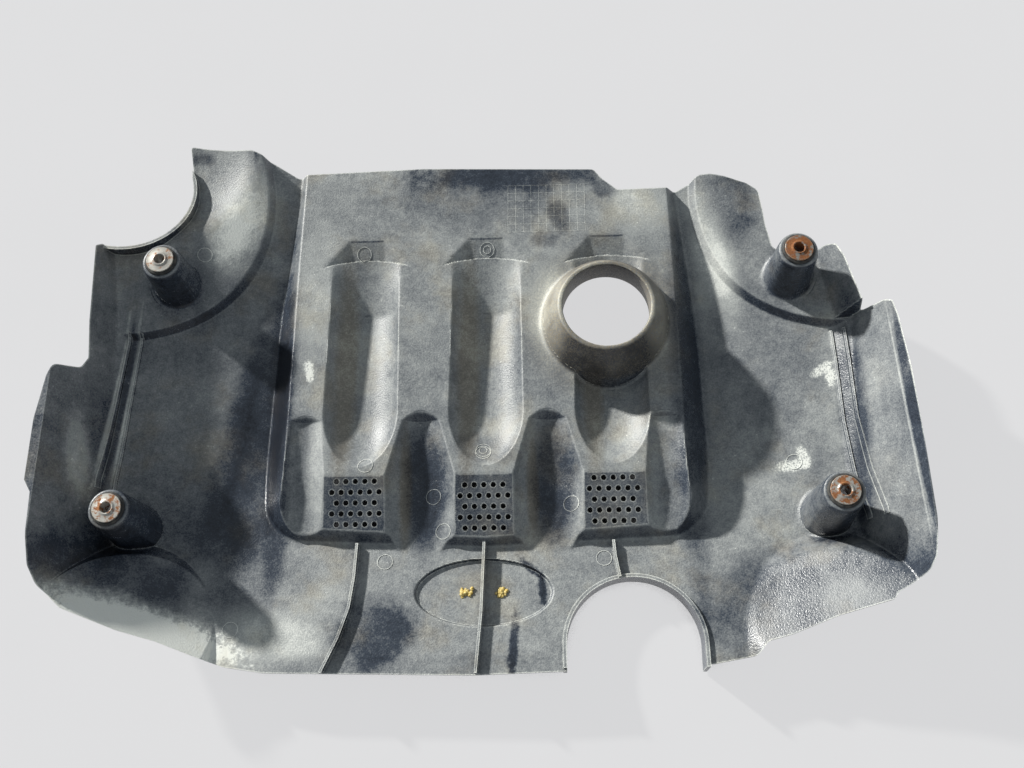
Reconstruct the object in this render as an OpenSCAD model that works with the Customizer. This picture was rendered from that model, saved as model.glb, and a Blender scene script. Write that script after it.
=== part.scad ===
// Engine top cover, lying on its outer face with its open underside up.
// The skin is the space between one stepped form and the same form set in by the wall.

/* [Cover] */
// Width of the cover from rim to rim, the rim lip included
body_w = 694; // [670:1:840]
// Depth from the front edge to the tip of the rear left horn
body_d = 471; // [460:1:570]
// Height of the side rims over the lowest point of the outer face
rim_z = 94; // [84:1:112]
// Thickness of the moulded skin
wall = 3; // [2:0.1:3.6]
// Width of the lip along the left rim
lip_w = 6; // [3:0.5:8]

/* [Panel] */
// Width of the raised centre panel
panel_w = 328; // [320:1:400]
// Height of the panel at its crease
panel_z = 37; // [34:0.5:45]
// Distance of the panel's front edge behind the cover's front edge
panel_front = 109.5; // [104:0.5:132]

/* [Channels] */
// Spacing of the channels, and of the grilles in front of them
pitch = 105.5; // [100:0.5:110]
// Width of a channel at the panel
channel_w = 58; // [48:1:62]
// Depth of a channel at its dip
channel_depth = 14.5; // [11:0.5:18]
// Length of a channel from its dip to its rounded front end
channel_l = 112; // [92:1:116]
// Radius of a scallop's section at its front lip
scallop_r = 58; // [45:1:70]
// Depth of a scallop at its rear end
scallop_depth = 9; // [7:0.5:11]

/* [Grilles] */
// Diameter of a grille hole
grille_hole_d = 4.4; // [3:0.1:5.4]
// Spacing of the grille holes along a row
grille_pitch = 7.8; // [7:0.1:8.4]
// Rows of holes in a grille
grille_rows = 5; // [3:2:5]

/* [Filler collar] */
// Diameter of the oil filler opening
filler_d = 73; // [60:1:88]
// Diameter of the collar where it leaves the panel
collar_d = 108; // [100:1:128]
// Height of the collar's rim over the panel
collar_h = 34; // [24:1:44]
// Length of the spout inside the collar
spout_l = 24; // [12:1:26]

/* [Bosses] */
// Height of the boss tops
boss_z = 84; // [76:1:101]
// Diameter of a boss at its top
boss_top_d = 32; // [31:0.5:39]
// Diameter of a boss at the height of the outer face
boss_foot_d = 44; // [40:0.5:53]
// Spacing of the rear bosses
rear_boss_pitch = 531; // [440:1:560]
// Spacing of the front bosses
front_boss_pitch = 566; // [470:1:590]
// Distance from the front bosses back to the rear ones
boss_depth = 209; // [175:1:254]

/* [Sleeves and grommets] */
// Bore of a sleeve, for an M8 bolt
bore_d = 8.6; // [6.4:0.1:10.4]
// Thickness of the sleeve's tube
tube_wall = 1.4; // [1:0.1:1.8]
// Diameter of the sleeve's flange
flange_d = 23; // [19:0.5:25]
// Thickness of the sleeve's flange
flange_t = 1.6; // [1:0.1:2.5]
// Length of the sleeve below its flange
sleeve_l = 15; // [12:0.5:20]
// Gap between pieces that fit into each other
fit_gap = 0.15; // [0.1:0.05:0.3]

/* [Arch and emblem seat] */
// Diameter of the arched cut-out in the front edge
arch_d = 107; // [90:1:128]
// Distance of the arch's middle to the right of the cover's middle
arch_x = 125; // [116:0.5:140]
// Length of the oval emblem seat
seat_l = 108; // [90:1:116]
// Width of the oval emblem seat
seat_w = 54; // [44:1:60]
// Diameter of the pin holes in the emblem seat
pin_d = 4; // [3:0.1:5]
// Spacing of the pin holes
pin_pitch = 28; // [22:0.5:34]

/* [Hidden] */
$fn = 72;
reach = 900;
front = -body_d / 2;
back = body_d / 2;
mid_x = lip_w / 2;
half_w = (body_w - lip_w) / 2;
left_rim = mid_x - half_w;
right_rim = mid_x + half_w;

// Slopes, as rise per run
front_slope = 0.16;
wing_slope = 0.185;
wing_front_slope = 0.055;
wing_back_slope = 0.21;
side_slope = 1.84;
step_slope = 0.85;
panel_side_slope = 1.45;
panel_slope = 0.012;
panel_back_slope = 0.04;
plate_slope = 0.25;
bow = 0.05;

// Panel
panel_x = mid_x + 3.5;
left_x = panel_x - panel_w / 2;
right_x = panel_x + panel_w / 2;
crease_y = back - 130;
plate_y = front + panel_front + 51.5;
plate_z = panel_z - panel_slope * (crease_y - plate_y);
lip_y = front + panel_front;
lip_z = plate_z - plate_slope * (plate_y - lip_y);
panel_r = 30;

// Front skin, and the wings that meet it on the ground beside the panel
front_y = front + 99;
front_z = 15;
valley_x = panel_w / 2 + (panel_z - set_in(panel_side_slope, wall)) / panel_side_slope;
valley_y = front_y + (front_z - set_in(front_slope, wall)) / front_slope;
wing_z = wall * steepness(wing_slope, wing_front_slope);
wing_crease_y = back - 157;
ledge_h = 7;
side_foot = 32;
side_foot_z = 38;

// Channels and scallops
channel_r = segment_r(channel_w, channel_depth);
channel_shift = 1.5;
dip_y = crease_y - 32;
dip_back_slope = 0.14;
dip_front_slope = 0.025;
nose_l = 42;
cap_y = crease_y + 10;
cap_l = 24.5;
scallop_l = 104;
scallop_back_r = 17;
scallop_lip_depth = 6;
tongue_r = 30;
end_scallop_x = 150.5;

// Grilles
grille_row_pitch = 8.5;
grille_front = 8;
grille_step = 4.2;
grille_columns = 6;

// Collar
collar_x = mid_x + 107;
collar_y = back - 178;
collar_z = panel_z + collar_h;
collar_rim_w = 3.5;
spout_wall = 2.6;

// Bosses and what sits in them
shelf_t = 3;
front_boss_y = front + 125;
neck_r = boss_top_d / 2 - 7;
grommet_r = boss_top_d / 2 - 2.5;
grommet_lip = 2.4;
grommet_foot_r = boss_top_d / 2 - wall - 1;
grommet_top = boss_z + grommet_lip;
tube_r = bore_d / 2 + tube_wall;
collar_lip = 1;
boss_places = [
    [mid_x - 0.5 - rear_boss_pitch / 2, front_boss_y + boss_depth + 2],
    [mid_x - 0.5 + rear_boss_pitch / 2, front_boss_y + boss_depth - 2],
    [mid_x - 2 - front_boss_pitch / 2, front_boss_y - 3],
    [mid_x - 2 + front_boss_pitch / 2, front_boss_y + 2]];

// Arch, horns and emblem seat
arch_centre = [arch_x, front + 23];
skirt_z = 1.5;
notch_r = 57;
notch_centre = [left_rim + 29, back - 51];
horn_place = [half_w - 90, back - 43];
seat_x = mid_x + 3;
seat_y = front + 66;
seat_sink = 3;

function steepness(sx, sy) = sqrt(1 + sx * sx + sy * sy);
function set_in(slope, k) = k * sqrt(1 + slope * slope);
function segment_r(w, h) = (w * w / 4 + h * h) / (2 * h);
function front_skin_z(y) = front_z - front_slope * (y - front_y);
function boss_r(z) = boss_foot_d / 2 + (boss_top_d - boss_foot_d) / 2 * z / boss_z;

// Everything below a plane through p that rises by sx along X and sy along Y, set in by k
module below(p, sx, sy, k = 0)
    translate(p)
        rotate([asin(sy / steepness(sx, sy)), atan(-sx), 0])
            translate([-reach, -reach, -reach - k])
                cube([2 * reach, 2 * reach, reach]);

module front_skin(k)
    below([0, front_y, front_z], 0, -front_slope, k);

// Wing on one side: a long gentle plane, and a steeper one behind its crease
module wing(side, k, rise = 0) {
    x = panel_x + side * valley_x;
    crease_z = wing_z + rise + wing_front_slope * (wing_crease_y - valley_y);
    below([x, valley_y, wing_z + rise], side * wing_slope, wing_front_slope, k);
    below([x, wing_crease_y, crease_z], side * wing_slope, wing_back_slope, k);
}

// Raised ledge outside the wing: straight along the side, rounded at both corners
module ledge_zone(side, k) {
    run = 0.6;
    below([mid_x + side * (half_w - 41), 0, 30], side * step_slope, wing_front_slope, k);
    translate([mid_x + side * (half_w - 7), back - 36, -20])
        cylinder(h = 200, r1 = 184 - set_in(run, k), r2 = 64 - set_in(run, k), $fn = 144);
    translate([mid_x + side * (half_w - 49), front + 20, -20])
        cylinder(h = 180, r1 = 113 - set_in(run, k), r2 = 5 - set_in(run, k), $fn = 120);
}

module ledge(side, k)
    intersection() {
        ledge_zone(side, k);
        union() {
            wing(side, k, ledge_h);
            below([mid_x + side * (half_w - 120), front + 16, 39], side * 0.46, -0.33, k);
        }
    }

// Side walls, which step in towards the rear right corner
module side_walls(k) {
    for (side = [-1, 1])
        below([mid_x + side * (half_w - side_foot), 0, side_foot_z], side * side_slope, 0, k);
    intersection() {
        below([right_rim - 33, back - 157, 68], side_slope, 0.47, k);
        translate([0, back - 182 + k, -50])
            cube([reach, reach, reach]);
    }
}

// Hollow that runs out to a rear horn, a shallow part of a ball
module horn_hollow(side, k)
    translate([mid_x + side * horn_place[0], horn_place[1], 166])
        sphere(r = 127 + k, $fn = 144);

module tray(k)
    difference() {
        union() {
            front_skin(k);
            for (side = [-1, 1]) {
                wing(side, k);
                ledge(side, k);
            }
        }
        for (side = [-1, 1])
            horn_hollow(side, k);
    }

// Panel: drafted walls with rounded front corners, under three nearly flat tops
module panel_block(k)
    intersection() {
        below([left_x, 0, panel_z], panel_side_slope, 0, k);
        below([right_x, 0, panel_z], -panel_side_slope, 0, k);
        panel_front_wall(k);
        panel_corner(-1, k);
        panel_corner(1, k);
        union() {
            below([0, crease_y, panel_z], 0, panel_slope, k);
            below([0, crease_y, panel_z], 0, panel_back_slope, k);
        }
        below([0, plate_y, plate_z], 0, plate_slope, k);
    }

// Front wall, bowed in plan, with a rounded tongue under the lip of each inner scallop
module panel_front_wall(k) {
    run = 1 / panel_side_slope;
    intersection() {
        below([panel_x, lip_y, lip_z], -bow * panel_side_slope, panel_side_slope, k);
        below([panel_x, lip_y, lip_z], bow * panel_side_slope, panel_side_slope, k);
    }
    for (i = [-0.5, 0.5])
        translate([panel_x + i * pitch, lip_y + tongue_r - 8, -44])
            cylinder(h = 90, r1 = tongue_r + 60 * run - set_in(run, k),
                r2 = max(0.5, tongue_r - 30 * run - set_in(run, k)), $fn = 96);
}

// Everything but the panel's front corner on one side, which a cone rounds off
module panel_corner(side, k) {
    run = 1 / panel_side_slope;
    r = panel_r + 0.3 - set_in(run, k);
    h = 120;
    x = panel_x + side * (panel_w / 2 + (panel_z - lip_z) * run - panel_r);
    y = lip_y + panel_r + 6;
    translate([x, y, lip_z - h / 2])
        cylinder(h = h, r1 = r + h / 2 * run, r2 = max(0.5, r - h / 2 * run), $fn = 96);
    translate([-reach / 2, y, -reach / 2])
        cube([reach, reach, reach]);
    translate([side > 0 ? x - reach : x, -reach / 2, -reach / 2])
        cube([reach, reach, reach]);
}

// Half-round channel, which dips near its rear end and has a rounded front end
module channel(k) {
    steps = [0, 0.2, 0.4, 0.6, 0.75, 0.9];
    intersection() {
        translate([0, dip_y, panel_z - channel_depth + channel_r])
            rotate([90 - atan(dip_front_slope), 0, 0])
                rotate_extrude($fn = 96)
                    polygon(concat([[0, -70], [channel_r + k, -70]],
                        [for (t = steps) [(channel_r + k) * sqrt(1 - t * t), channel_l + (nose_l + k) * t]],
                        [[0, channel_l + nose_l + k]]));
        translate([0, dip_y, panel_z - channel_depth + channel_r])
            rotate([atan(dip_back_slope) - 90, 0, 0])
                translate([0, 0, -190])
                    cylinder(h = 190 + cap_y + 7 - dip_y, r = channel_r + k, $fn = 96);
    }
    channel_end(k);
}

// Rear end of a channel: three shallow facets that stop at a low curved step
module channel_end(k) {
    top_z = panel_z + panel_back_slope * (cap_y + cap_l - crease_y);
    difference() {
        translate([-45, cap_y - 3, 0])
            cube([90, cap_l + 23, 70]);
        translate([0, cap_y - 79, -1])
            cylinder(h = 72, r = 86 - k, $fn = 144);
        below([0, cap_y + cap_l, top_z], 0, 0.36, k);
        for (side = [-1, 1])
            below([side * 12.5, cap_y + cap_l, top_z], side * 0.38, 0.36, k);
    }
}

// Scallop: a tapered round that widens towards the panel's front lip
module scallop(k, r1, depth, r2, lip_depth) {
    z1 = plate_z - depth + r1;
    z2 = lip_z - lip_depth + r2;
    slope = (z2 - z1) / scallop_l;
    grow = (r2 - r1) / scallop_l;
    over = 40;
    translate([0, lip_y + scallop_l, z1])
        rotate([90 - atan(slope), 0, 0])
            rotate_extrude()
                polygon([[0, -8 - k / 2], [r1 * 0.62 + k, -8 - k / 2], [r1 + k, 0],
                    [r1 + k + grow * (scallop_l + over), scallop_l + over], [0, scallop_l + over]]);
}

module panel(k)
    difference() {
        panel_block(k);
        for (i = [-1:1])
            translate([panel_x + channel_shift + i * pitch, 0, 0])
                channel(k);
        for (i = [-0.5, 0.5])
            translate([panel_x + i * pitch, 0, 0])
                scallop(k, scallop_back_r, scallop_depth, scallop_r, scallop_lip_depth);
        for (side = [-1, 1])
            translate([panel_x + side * end_scallop_x, 0, 0])
                scallop(k, scallop_back_r + 3, scallop_depth - 5.5, scallop_r - 8, scallop_lip_depth - 2);
    }

// Dome that carries the filler collar, slightly bulged
module dome(k) {
    r0 = collar_d / 2 - k;
    r1 = filler_d / 2 + collar_rim_w - k;
    z0 = panel_z - 4;
    h = collar_z - k - z0;
    translate([collar_x, collar_y, -10])
        rotate_extrude()
            polygon(concat([[0, 0], [r0, 0]],
                [for (t = [0:0.25:1]) [r0 + (r1 - r0) * t + 3 * sin(180 * t), z0 + 10 + h * t]],
                [[0, z0 + 10 + h]]));
}

// Pocket of the emblem seat, which also stands out from the outer face
module seat_pocket(k)
    difference() {
        translate([seat_x, seat_y, 0])
            linear_extrude(80)
                polygon([for (a = [0:10:350])
                    [(seat_l / 2 + k) * cos(a), (seat_w / 2 + k) * sin(a)]]);
        front_skin(seat_sink + k);
    }

// The whole solid under the inner face, set in by k
module form(k)
    difference() {
        union() {
            tray(k);
            side_walls(k);
            panel(k);
            dome(k);
        }
        seat_pocket(k);
    }

// Outline in plan
module outline_2d()
    offset(r = 3, $fn = 24)
        offset(delta = -3)
            polygon(concat(
                // Rear left horn and its tip
                [[left_rim + 41, back - 46], [left_rim + 83, back - 33], [left_rim + 79, back + 0.5],
                 [left_rim + 137, back - 8], [left_rim + 156, back - 17]],
                // Rear edge of the panel, with a step down on the right
                [[left_x - 6, back - 29], [left_x + 108, back - 26], [panel_x + 97, back - 31],
                 [panel_x + 105, back - 41], [panel_x + 118, back - 52], [right_x + 5, back - 51],
                 [right_x + 27, back - 41]],
                // Rear right horn
                [[right_rim - 141, back - 41], [right_rim - 127, back - 44],
                 [right_rim - 109, back - 49], [right_rim - 99, back - 56],
                 [right_rim - 98, back - 69], [right_rim - 96, back - 91],
                 [right_rim - 91, back - 112], [right_rim - 86, back - 116],
                 [right_rim - 58, back - 120], [right_rim - 49, back - 120],
                 [right_rim - 43, back - 124], [right_rim - 38, back - 137],
                 [right_rim - 28, back - 176], [right_rim - 24, back - 180],
                 [right_rim - 12, back - 181], [right_rim - 8, back - 185]],
                // Right rim
                [[right_rim - 6, back - 201], [right_rim - 3, back - 246],
                 [right_rim, front + 104], [right_rim - 3, front + 76],
                 [right_rim - 7, front + 66], [right_rim - 17, front + 59],
                 [right_rim - 28, front + 53], [right_rim - 31, front + 48]],
                // Front edge
                [[right_rim - 69, front + 39], [right_rim - 103, front + 27],
                 [right_rim - 121, front + 23], [right_rim - 129, front + 13],
                 [right_rim - 162, front + 7], [arch_x, front + 4], [0, front],
                 [left_rim + 176, front + 3], [left_rim + 144, front + 8],
                 [left_rim + 120, front + 16], [left_rim + 93, front + 26],
                 [left_rim + 66, front + 33], [left_rim + 26, front + 48]],
                // Left rim
                [[left_rim + 9, front + 64], [left_rim + 4, front + 78],
                 [left_rim + 1, front + 104], [left_rim, front + 134],
                 [left_rim - lip_w, front + 144], [left_rim - lip_w, front + 194],
                 [left_rim - 1, front + 231], [left_rim + 3, front + 242],
                 [left_rim + 15, front + 247], [left_rim + 18, front + 258],
                 [left_rim + 16, front + 291], [left_rim + 14, front + 360],
                 [left_rim + 17, front + 364]]));

module arch_2d(grow) {
    translate(arch_centre)
        circle(d = arch_d + 2 * grow, $fn = 96);
    translate([arch_centre[0] - arch_d / 2 - grow, front - 40])
        square([arch_d + 2 * grow, 63]);
}

module outline()
    difference() {
        translate([0, 0, -30])
            linear_extrude(30 + rim_z)
                outline_2d();
        translate([0, 0, -40])
            linear_extrude(200)
                arch_2d(0);
        translate([notch_centre[0], notch_centre[1], -40])
            cylinder(h = 200, r = notch_r, $fn = 120);
    }

// Wall that stands along the horn's round cut-out
module notch_wall()
    intersection() {
        difference() {
            translate([notch_centre[0], notch_centre[1], 10])
                cylinder(h = 80, r = notch_r + wall, $fn = 120);
            translate([notch_centre[0], notch_centre[1], 9])
                cylinder(h = 82, r = notch_r, $fn = 120);
        }
        below([left_rim + 80, back - 30, 46], -0.12, -0.13);
    }

// Lip that stands out from the left rim
module rim_lip()
    intersection() {
        translate([left_rim - lip_w - 1, valley_y - 60, rim_z - wall])
            cube([lip_w + 4, 120, wall]);
        outline();
    }

// Skirt that goes down round the arch, to the height of the outer face
module arch_skirt()
    intersection() {
        translate([0, 0, skirt_z])
            linear_extrude(60)
                difference() {
                    intersection() {
                        arch_2d(wall);
                        outline_2d();
                    }
                    arch_2d(0);
                }
        front_skin(-3);
    }

module rib_wall(points)
    translate([0, 0, 2])
        linear_extrude(60)
            for (i = [1:len(points) - 1])
                hull()
                    for (p = [points[i - 1], points[i]])
                        translate(p)
                            circle(d = 2.2, $fn = 16);

module ribs()
    intersection() {
        union() {
            rib_wall([[mid_x - 101, lip_y - 2], [mid_x - 103, lip_y - 56], [mid_x - 123, front + 1]]);
            rib_wall([[mid_x + 3, lip_y - 2], [mid_x + 1, lip_y - 70], [mid_x - 2, front + 1]]);
            rib_wall([[mid_x + 108, lip_y - 2], [mid_x + 112, lip_y - 33]]);
        }
        front_skin(-6);
    }

module boss_cones()
    for (p = boss_places)
        translate([p[0], p[1], 0])
            cylinder(h = boss_z, r1 = boss_r(0), r2 = boss_r(boss_z));

module boss_hollows()
    for (p = boss_places)
        translate([p[0], p[1], -10]) {
            cylinder(h = boss_z - shelf_t + 10, r1 = boss_r(-10) - wall,
                r2 = boss_r(boss_z - shelf_t) - wall);
            cylinder(h = boss_z + 20, r = neck_r + fit_gap);
        }

// Three grilles of staggered holes in the plates in front of the channels
module grille_holes()
    for (i = [-1:1], row = [0:grille_rows - 1])
        for (column = [0:grille_columns - 1 - (row % 2 == 0 ? 1 : 0)])
            translate([panel_x + i * pitch
                    + (column - (grille_columns - (row % 2 == 0 ? 2 : 1)) / 2) * grille_pitch,
                    lip_y + grille_front + abs(i) * grille_step + row * grille_row_pitch, 0])
                cylinder(h = 60, d = grille_hole_d, $fn = 24);

// Places its children on the emblem seat's floor, square to it
module on_seat(side)
    translate([seat_x + side * pin_pitch / 2, seat_y,
            front_skin_z(seat_y) - set_in(front_slope, seat_sink)])
        rotate([-atan(front_slope), 0, 0])
            children();

module cover()
    color([0.17, 0.18, 0.19])
        difference() {
            union() {
                difference() {
                    intersection() {
                        union() {
                            form(0);
                            ribs();
                            notch_wall();
                        }
                        outline();
                    }
                    form(wall);
                }
                difference() {
                    boss_cones();
                    form(wall);
                }
                arch_skirt();
                rim_lip();
                translate([collar_x, collar_y, collar_z - spout_l])
                    cylinder(h = spout_l, d = filler_d + 2 * spout_wall);
            }
            translate([collar_x, collar_y, -10])
                cylinder(h = collar_z + 30, d = filler_d);
            boss_hollows();
            grille_holes();
            for (side = [-1, 1])
                on_seat(side)
                    translate([0, 0, -20])
                        cylinder(h = 40, d = pin_d, $fn = 32);
        }

// Flanged steel sleeve, its flange on the grommet and a turned-up lip round the bore
module sleeve(p)
    color([0.47, 0.38, 0.31])
        translate([p[0], p[1], grommet_top])
            difference() {
                union() {
                    translate([0, 0, -sleeve_l])
                        cylinder(h = sleeve_l + flange_t + collar_lip, r = tube_r);
                    cylinder(h = flange_t, d = flange_d);
                }
                translate([0, 0, -sleeve_l - 1])
                    cylinder(h = sleeve_l + flange_t + collar_lip + 2, d = bore_d);
            }

// Rubber grommet, its neck in the boss's hole and a lip on either side of the shelf
module grommet(p)
    color([0.1, 0.1, 0.1])
        translate([p[0], p[1], boss_z])
            difference() {
                union() {
                    cylinder(h = grommet_lip, r = grommet_r);
                    translate([0, 0, -shelf_t - grommet_lip])
                        cylinder(h = shelf_t + 2 * grommet_lip, r = neck_r);
                    translate([0, 0, -shelf_t - grommet_lip])
                        cylinder(h = grommet_lip, r1 = grommet_foot_r - 1.5, r2 = grommet_foot_r);
                }
                translate([0, 0, -shelf_t - grommet_lip - 1])
                    cylinder(h = shelf_t + 2 * grommet_lip + 2, r = tube_r + fit_gap);
            }

// Blob of yellow plastic on the end of an emblem pin
module stake(side)
    color([0.72, 0.62, 0.25])
        on_seat(side)
            union() {
                translate([0, 0, -wall])
                    cylinder(h = wall, d = pin_d - 2 * fit_gap, $fn = 32);
                difference() {
                    translate([0, 0, -3])
                        sphere(r = 5.2, $fn = 40);
                    translate([0, 0, -10])
                        cube([20, 20, 20], center = true);
                }
            }

cover();
sleeve(boss_places[0]);  // sleeve_rear_left
sleeve(boss_places[1]);  // sleeve_rear_right
sleeve(boss_places[2]);  // sleeve_front_left
sleeve(boss_places[3]);  // sleeve_front_right
grommet(boss_places[0]);  // grommet_rear_left
grommet(boss_places[1]);  // grommet_rear_right
grommet(boss_places[2]);  // grommet_front_left
grommet(boss_places[3]);  // grommet_front_right
stake(-1);  // stake_left
stake(1);  // stake_right
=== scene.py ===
import math
import random

import bmesh
import bpy
import numpy as np
from mathutils import Matrix, Vector


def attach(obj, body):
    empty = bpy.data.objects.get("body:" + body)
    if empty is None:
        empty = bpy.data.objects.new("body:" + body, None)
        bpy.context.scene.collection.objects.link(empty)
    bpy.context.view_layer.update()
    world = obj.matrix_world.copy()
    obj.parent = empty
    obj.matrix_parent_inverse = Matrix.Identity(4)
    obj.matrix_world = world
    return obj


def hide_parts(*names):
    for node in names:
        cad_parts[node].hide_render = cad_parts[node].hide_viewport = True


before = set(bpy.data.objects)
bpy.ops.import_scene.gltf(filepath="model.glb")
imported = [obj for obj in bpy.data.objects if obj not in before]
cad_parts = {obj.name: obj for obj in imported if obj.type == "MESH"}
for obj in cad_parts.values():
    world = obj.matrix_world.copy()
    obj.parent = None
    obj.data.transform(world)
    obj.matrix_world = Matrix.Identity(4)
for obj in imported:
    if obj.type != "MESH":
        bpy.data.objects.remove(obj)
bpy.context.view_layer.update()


# Camera: a phone held over the cover's front edge, tilted about 21 degrees from straight down.
camera_place = Vector((0.07125, -0.3438, 0.9356))
camera_right = Vector((0.99889, -0.00334, -0.04703))
camera_up = Vector((0.01998, 0.93353, 0.35797))
camera_back = camera_right.cross(camera_up)
camera_data = bpy.data.cameras.new("camera")
camera_data.sensor_width = 36.0
camera_data.lens = 40.43
camera_data.clip_start = 0.01
camera = bpy.data.objects.new("camera", camera_data)
camera.matrix_world = Matrix.Translation(camera_place) @ Matrix(
    (camera_right, camera_up, camera_back)).transposed().to_4x4()
bpy.context.scene.collection.objects.link(camera)
bpy.context.scene.camera = camera


# Floor and light: a pale floor with its far edges turned up, low sunlight from the rear left, and
# a soft bluish fill. To the camera the floor mostly glows, so it stays pale and keeps a faint
# shadow, and its glow fades to a painted shade where the cover lies close over it.
class Paint:
    """A procedural material; its places and sizes are millimetres in the cover's frame."""

    def __init__(self, name):
        self.material = bpy.data.materials.new(name)
        self.material.use_nodes = True
        self.nodes = self.material.node_tree.nodes
        self.links = self.material.node_tree.links
        self.shader = self.nodes["Principled BSDF"]
        self.place = self.put("VectorMath", {0: self.put("TexCoord")["Object"], "Scale": 1000.0},
                              operation="SCALE")[0]

    def put(self, kind, inputs=None, **settings):
        made = self.nodes.new("ShaderNode" + kind)
        for name, value in settings.items():
            setattr(made, name, value)
        for key, value in (inputs or {}).items():
            self.set(made.inputs[key], value)
        return made.outputs

    def set(self, socket, value):
        if isinstance(value, bpy.types.NodeSocket):
            self.links.new(value, socket)
        elif isinstance(value, tuple) and socket.type == "RGBA":
            socket.default_value = (*value, 1.0)
        else:
            socket.default_value = value

    def math(self, operation, a, b=0.0, c=0.0):
        return self.put("Math", {0: a, 1: b, 2: c}, operation=operation)[0]

    def band(self, value, low, high, first=0.0, last=1.0):
        return self.put("MapRange", {0: value, 1: low, 2: high, 3: first, 4: last},
                        interpolation_type="SMOOTHSTEP")[0]

    def noise(self, size, detail=3.0, rough=0.55, stretch=(1.0, 1.0, 1.0), turn=0.0):
        spot = self.put("Mapping", {0: self.place, "Rotation": (0.0, 0.0, turn),
                                    "Scale": tuple(q / size for q in stretch)})[0]
        return self.put("TexNoise", {"Vector": spot, "Scale": 1.0, "Detail": detail, "Roughness": rough})[0]

    def mix(self, share, a, b):
        made = self.nodes.new("ShaderNodeMix")
        made.data_type = "RGBA"
        for number, value in ((0, share), (6, a), (7, b)):
            self.set(made.inputs[number], value)
        return made.outputs[2]

    def ramp(self, value, stops):
        made = self.nodes.new("ShaderNodeValToRGB")
        elements = made.color_ramp.elements
        while len(elements) < len(stops):
            elements.new(0.5)
        for element, (position, color) in zip(elements, stops):
            element.position = position
            element.color = (*color, 1.0)
        self.links.new(value, made.inputs[0])
        return made.outputs[0]

    def spot(self, at, size, soft=0.35, turn=0.0, ragged=None, bite=1.6):
        """1 inside an ellipse in plan and 0 outside it; ragged is a noise that bites into its edge."""
        # by dot products: with a Mapping node for each of its spots, the cover renders black
        turn = math.radians(turn)
        u = Vector((math.cos(turn), math.sin(turn), 0.0)) / size[0]
        v = Vector((-math.sin(turn), math.cos(turn), 0.0)) / size[1]
        middle = Vector((at[0], at[1], 0.0))
        across = self.put("VectorMath", {0: self.place, 1: u}, operation="DOT_PRODUCT")["Value"]
        along = self.put("VectorMath", {0: self.place, 1: v}, operation="DOT_PRODUCT")["Value"]
        near = self.put("CombineXYZ", {0: across, 1: along})[0]
        away = self.put("VectorMath", {0: near, 1: (u.dot(middle), v.dot(middle), 0.0)},
                        operation="DISTANCE")["Value"]
        if ragged is not None:
            away = self.math("MULTIPLY_ADD", ragged, bite, self.math("SUBTRACT", away, bite / 2))
        return self.band(away, 1 + soft, 1 - soft)

    def finish(self, piece, **surface):
        for name, value in surface.items():
            self.set(self.shader.inputs[name.replace("_", " ")], value)
        piece.data.materials.clear()
        piece.data.materials.append(self.material)


floor_mesh = bpy.data.meshes.new("floor")
floor_half, floor_z = 4, -0.0005
far_half, far_z = 12, 2.5
floor_corners = [(-1, -1), (1, -1), (1, 1), (-1, 1)]
floor_points = [(floor_half * x, floor_half * y, floor_z) for x, y in floor_corners]
floor_points += [(far_half * x, far_half * y, far_z) for x, y in floor_corners]
turned_up = [(q, q + 4, (q + 1) % 4 + 4, (q + 1) % 4) for q in range(4)]
floor_mesh.from_pydata(floor_points, [], [(0, 1, 2, 3)] + turned_up)
floor = bpy.data.objects.new("floor", floor_mesh)
bpy.context.scene.collection.objects.link(floor)
paint = Paint("pale_floor")
# painted shade: the glow fades where the cover lies close over the floor
covered = paint.put("AmbientOcclusion", {"Distance": 0.05}, samples=12)["AO"]
clear = paint.band(covered, 0.3, 0.42, 0.015)
# it keeps its glow up through the collar's opening, and has a painted shade under the grilles
under_collar = paint.spot((110, 88), (78, 70), 0.1)
painted_grille_shade = paint.spot((6, -88), (150, 44), 0.2)
clear = paint.math("MAXIMUM", clear, under_collar)
clear = paint.math("MULTIPLY", clear, paint.band(painted_grille_shade, 1, 0, 0.012))
cloud = paint.mix(paint.noise(160), (0.735, 0.735, 0.745), (0.755, 0.755, 0.765))
glow = paint.put("Emission", {"Color": cloud, "Strength": clear})[0]
ray = paint.put("LightPath")
seen = paint.math("MAXIMUM", ray["Is Camera Ray"], ray["Is Glossy Ray"])
seen = paint.math("MAXIMUM", seen, ray["Is Transmission Ray"])
share = paint.math("MULTIPLY", seen, 0.88)
paint.finish(floor, Base_Color=(0.75, 0.75, 0.76), Roughness=0.9)
mixer = paint.put("MixShader", {0: share, 1: paint.shader.outputs[0], 2: glow})[0]
paint.links.new(mixer, paint.nodes["Material Output"].inputs["Surface"])

key_data = bpy.data.lights.new("key", "SUN")
key_data.energy = 5.4
key_data.angle = math.radians(3)
key_data.color = (1.0, 0.98, 0.93)
key = bpy.data.objects.new("key", key_data)
key_azimuth = math.radians(-38.6)
key_height = math.radians(22.5)
key.rotation_euler = Vector((math.cos(key_azimuth) * math.cos(key_height),
                             math.sin(key_azimuth) * math.cos(key_height),
                             -math.sin(key_height))).to_track_quat("-Z", "Y").to_euler()
bpy.context.scene.collection.objects.link(key)
world = bpy.data.worlds.new("studio")
world.use_nodes = True
fill = world.node_tree.nodes["Background"]
fill.inputs["Color"].default_value = (0.86, 0.94, 1.0, 1)
fill.inputs["Strength"].default_value = 0.3
bpy.context.scene.world = world
bpy.context.scene.view_settings.view_transform = "Standard"


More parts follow.
